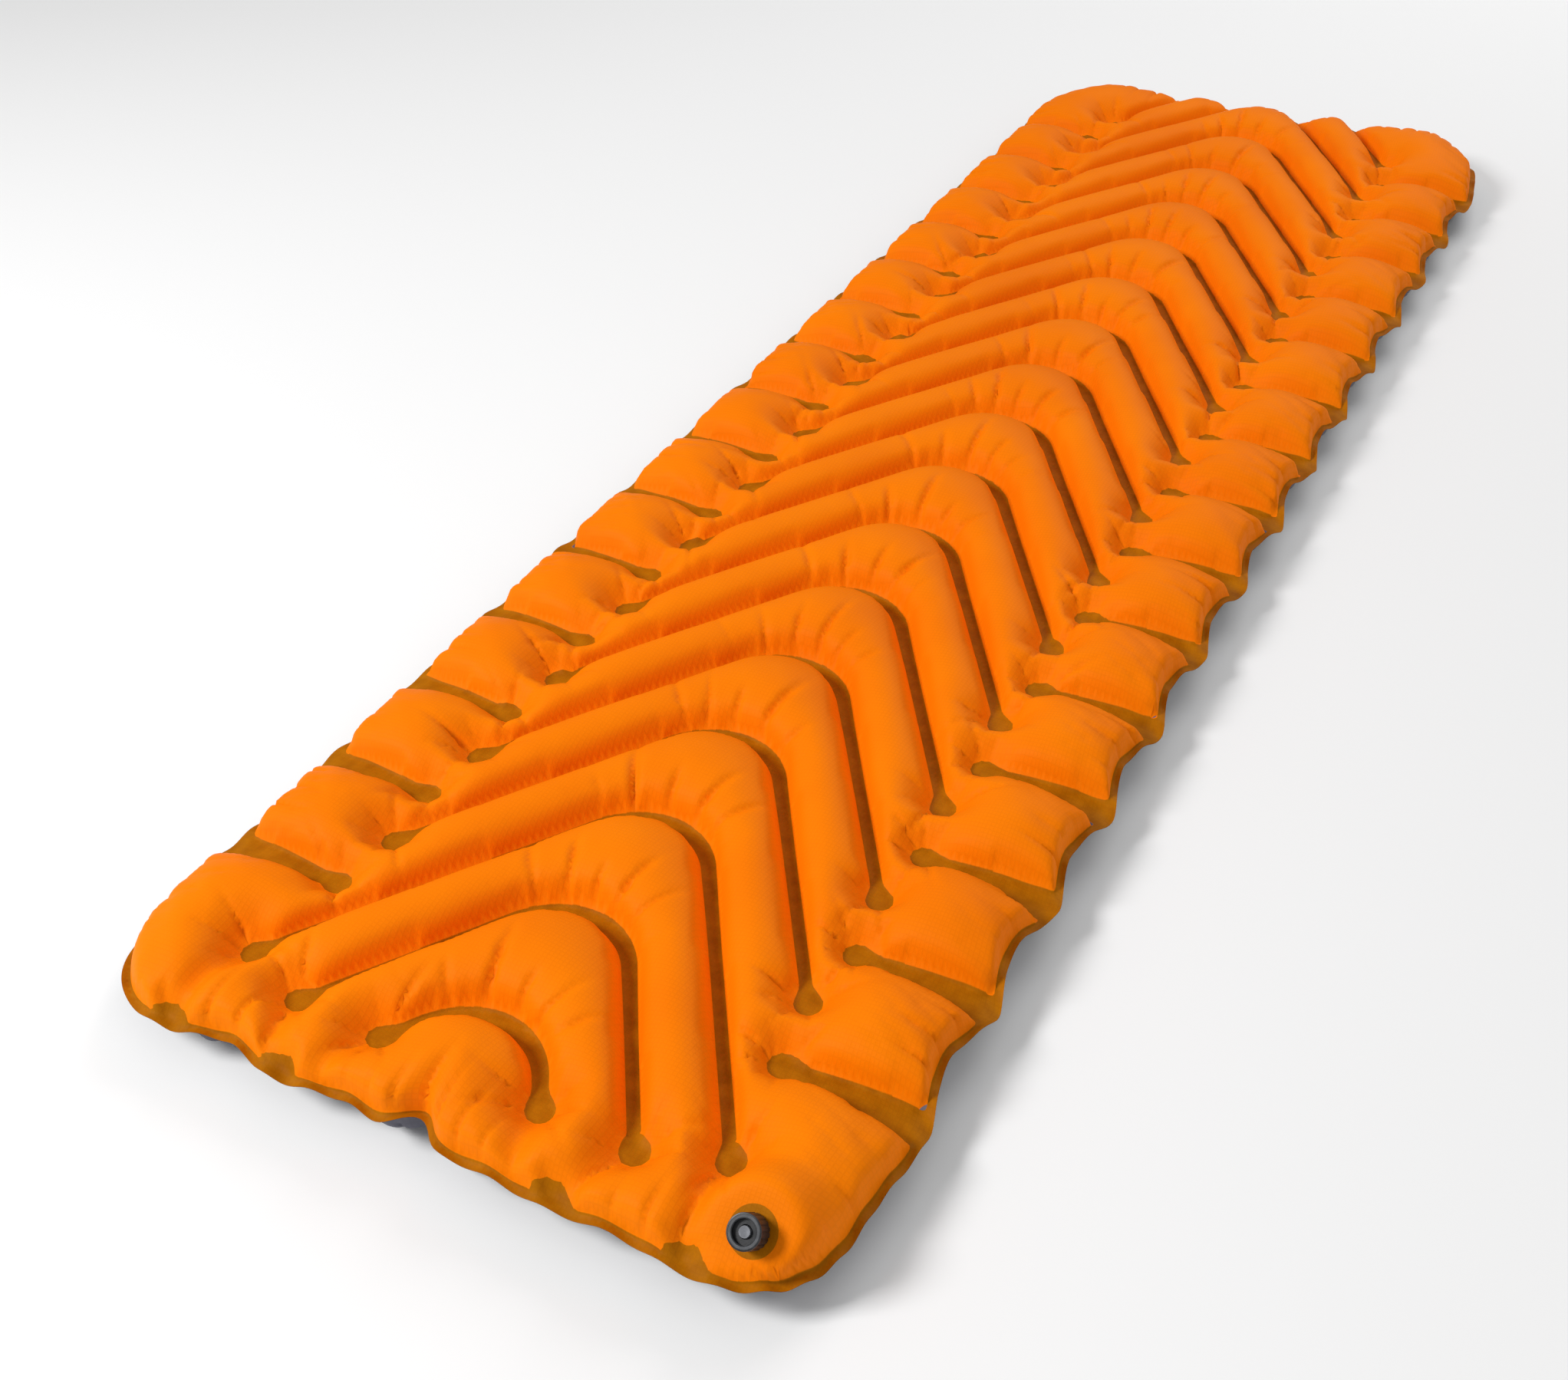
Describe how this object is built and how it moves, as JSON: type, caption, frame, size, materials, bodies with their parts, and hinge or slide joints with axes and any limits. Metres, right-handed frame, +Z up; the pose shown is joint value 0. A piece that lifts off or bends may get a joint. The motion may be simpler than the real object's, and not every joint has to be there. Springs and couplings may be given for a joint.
{
  "type": "inflatable sleeping pad",
  "caption": "Rectangular air pad, blown up, with chevron-welded body tubes, pillowed side rails, an insulation batt inside and a twist valve in one foot corner.",
  "frame": {"origin": "on the ground under the middle of the blown-up pad", "axes": "+Z up, +Y towards the head end, +X towards the long side that the valve is on"},
  "size_m": [0.584, 1.829, 0.0733],
  "materials": {
    "top_fabric": "fine ripstop weave with a soft sheen",
    "bottom_fabric": "coarser matt weave",
    "insulation": "matt fibre",
    "valve_black": "satin moulded",
    "plug_grey": "satin moulded",
    "seal_rubber": "matt"
  },
  "bodies": {
    "pad": {"top_sheet": "top_fabric", "bottom_sheet": "bottom_fabric", "insulation_batt": "insulation", "valve_base": "valve_black", "valve_plug": "plug_grey", "plug_gasket": "seal_rubber"},
    "seal": {"sleeve_seal": "seal_rubber"},
    "sleeve": {"twist_sleeve": "valve_black"}
  },
  "joints": [
    {"name": "sleeve_lift", "type": "slide", "parent": "pad", "child": "seal", "axis": [0, -0.6157, 0.788], "range_m": [0, 0.0026]},
    {"name": "sleeve_turn", "type": "hinge", "parent": "seal", "child": "sleeve", "pos_m": [0.238, -0.883, 0.0543], "axis": [0, -0.6157, 0.788], "range_deg": [0, 180]}
  ],
  "couplings": [
    {"joint": "sleeve_lift", "follows": "sleeve_turn", "m_per_rad": 0.00079577}
  ]
}
